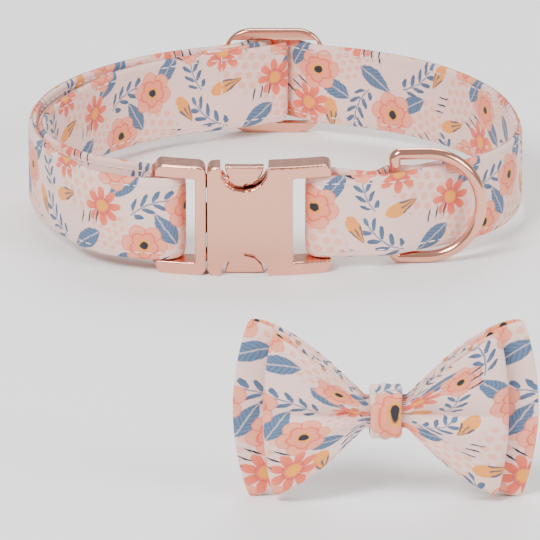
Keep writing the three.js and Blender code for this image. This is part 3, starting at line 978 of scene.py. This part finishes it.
class COLLAR_OT_bow(Operator):
    """Fold the two looped layers and the knot of the bow tie."""
    bl_idname = "collar.bow"
    bl_label = "Bow tie"

    def execute(self, context):
        _, sizes, _ = settings()
        cotton = shared("printed cotton", cotton_material)
        layer = 1.85
        for name, node, half, front in (("bow_front_layer", "bow_front_wings", sizes.front_half, True),
                                        ("bow_back_layer", "bow_back_wings", sizes.back_half, False)):
            piece = build_wings(sizes, name, half, front, -layer if front else layer)
            finish_piece(piece, cotton, "collar", (node,))
        finish_piece(build_knot(sizes), cotton, "collar", ("bow_knot",))
        return {"FINISHED"}


# The stage: the floor's half width, then each light's name, place and size in metres and power in watts
FLOOR_HALF = 6.0
LIGHT_AIM = (0, 0, 0.01)
LIGHTS = (
    ("key", (-0.55, -0.75, 1.0), 0.5, 22.0),
    ("fill", (0.9, -0.6, 0.6), 0.5, 8.0),
    ("rim", (0.1, 0.9, 0.9), 0.8, 12.0),
)

# The camera aims at a point in mm from 2.19 m away, 20 degrees above the floor, through a long lens
CAMERA_AIM = (-1.5, 28.2, -0.5)
CAMERA_FAR = 2.19
CAMERA_TILT = 20
CAMERA_LENS = 504


class COLLAR_OT_stage(Operator):
    """Set the pale floor, the soft lights and the camera."""
    bl_idname = "collar.stage"
    bl_label = "Stage"

    def execute(self, context):
        scene = context.scene
        mesh = bpy.data.meshes.new("floor")
        wide = FLOOR_HALF
        mesh.from_pydata([(-wide, -wide, 0), (wide, -wide, 0), (wide, wide, 0), (-wide, wide, 0)], [],
                         [(0, 1, 2, 3)])
        floor = bpy.data.objects.new("floor", mesh)
        scene.collection.objects.link(floor)
        paper = bpy.data.materials.new("pale floor")
        paper.use_nodes = True
        shader = paper.node_tree.nodes["Principled BSDF"]
        shader.inputs["Base Color"].default_value = (0.93, 0.925, 0.92, 1)
        shader.inputs["Roughness"].default_value = 0.9
        shader.inputs["Specular IOR Level"].default_value = 0.1
        floor.data.materials.append(paper)

        world = bpy.data.worlds.new("studio")
        world.use_nodes = True
        world.node_tree.nodes["Background"].inputs["Color"].default_value = (1, 1, 1, 1)
        world.node_tree.nodes["Background"].inputs["Strength"].default_value = 0.5
        scene.world = world
        aim = Vector(LIGHT_AIM)
        for name, place, size, power in LIGHTS:
            light = bpy.data.lights.new(name, "AREA")
            light.size = size
            light.energy = power
            lamp = bpy.data.objects.new(name, light)
            lamp.location = place
            lamp.rotation_euler = (aim - Vector(place)).to_track_quat("-Z", "Y").to_euler()
            scene.collection.objects.link(lamp)

        lens = bpy.data.cameras.new("camera")
        lens.lens = CAMERA_LENS
        lens.sensor_width = 36
        lens.clip_end = 50
        camera = bpy.data.objects.new("camera", lens)
        tilt = math.radians(CAMERA_TILT)
        camera.location = Vector(CAMERA_AIM) * MM + CAMERA_FAR * Vector((0, -math.cos(tilt), math.sin(tilt)))
        camera.rotation_euler = (math.pi / 2 - tilt, 0, 0)
        scene.collection.objects.link(camera)
        scene.camera = camera
        return {"FINISHED"}


STEPS = (COLLAR_OT_stage, COLLAR_OT_strap, COLLAR_OT_stitches, COLLAR_OT_fittings, COLLAR_OT_bow)


class COLLAR_PT_sidebar(Panel):
    """Lists the steps that dress the collar."""
    bl_idname = "COLLAR_PT_sidebar"
    bl_label = "Pet Bow Tie Collar"
    bl_space_type = "VIEW_3D"
    bl_region_type = "UI"
    bl_category = "Collar"

    def draw(self, context):
        for step in STEPS:
            self.layout.operator(step.bl_idname)
        for group in settings():
            box = self.layout.box()
            for name in group.__annotations__:
                box.prop(group, name)


CLASSES = (CollarStrapSizes, CollarBowSizes, CollarColours, *STEPS, COLLAR_PT_sidebar)


def register():
    for item in CLASSES:
        bpy.utils.register_class(item)
    bpy.types.Scene.collar_strap = PointerProperty(type=CollarStrapSizes)
    bpy.types.Scene.collar_bow = PointerProperty(type=CollarBowSizes)
    bpy.types.Scene.collar_colours = PointerProperty(type=CollarColours)


def unregister():
    for name in ("collar_strap", "collar_bow", "collar_colours"):
        delattr(bpy.types.Scene, name)
    for item in reversed(CLASSES):
        bpy.utils.unregister_class(item)


def main():
    register()
    bpy.ops.collar.stage()
    bpy.ops.collar.strap()
    bpy.ops.collar.stitches()
    bpy.ops.collar.fittings()
    bpy.ops.collar.bow()


if __name__ == "__main__":
    main()
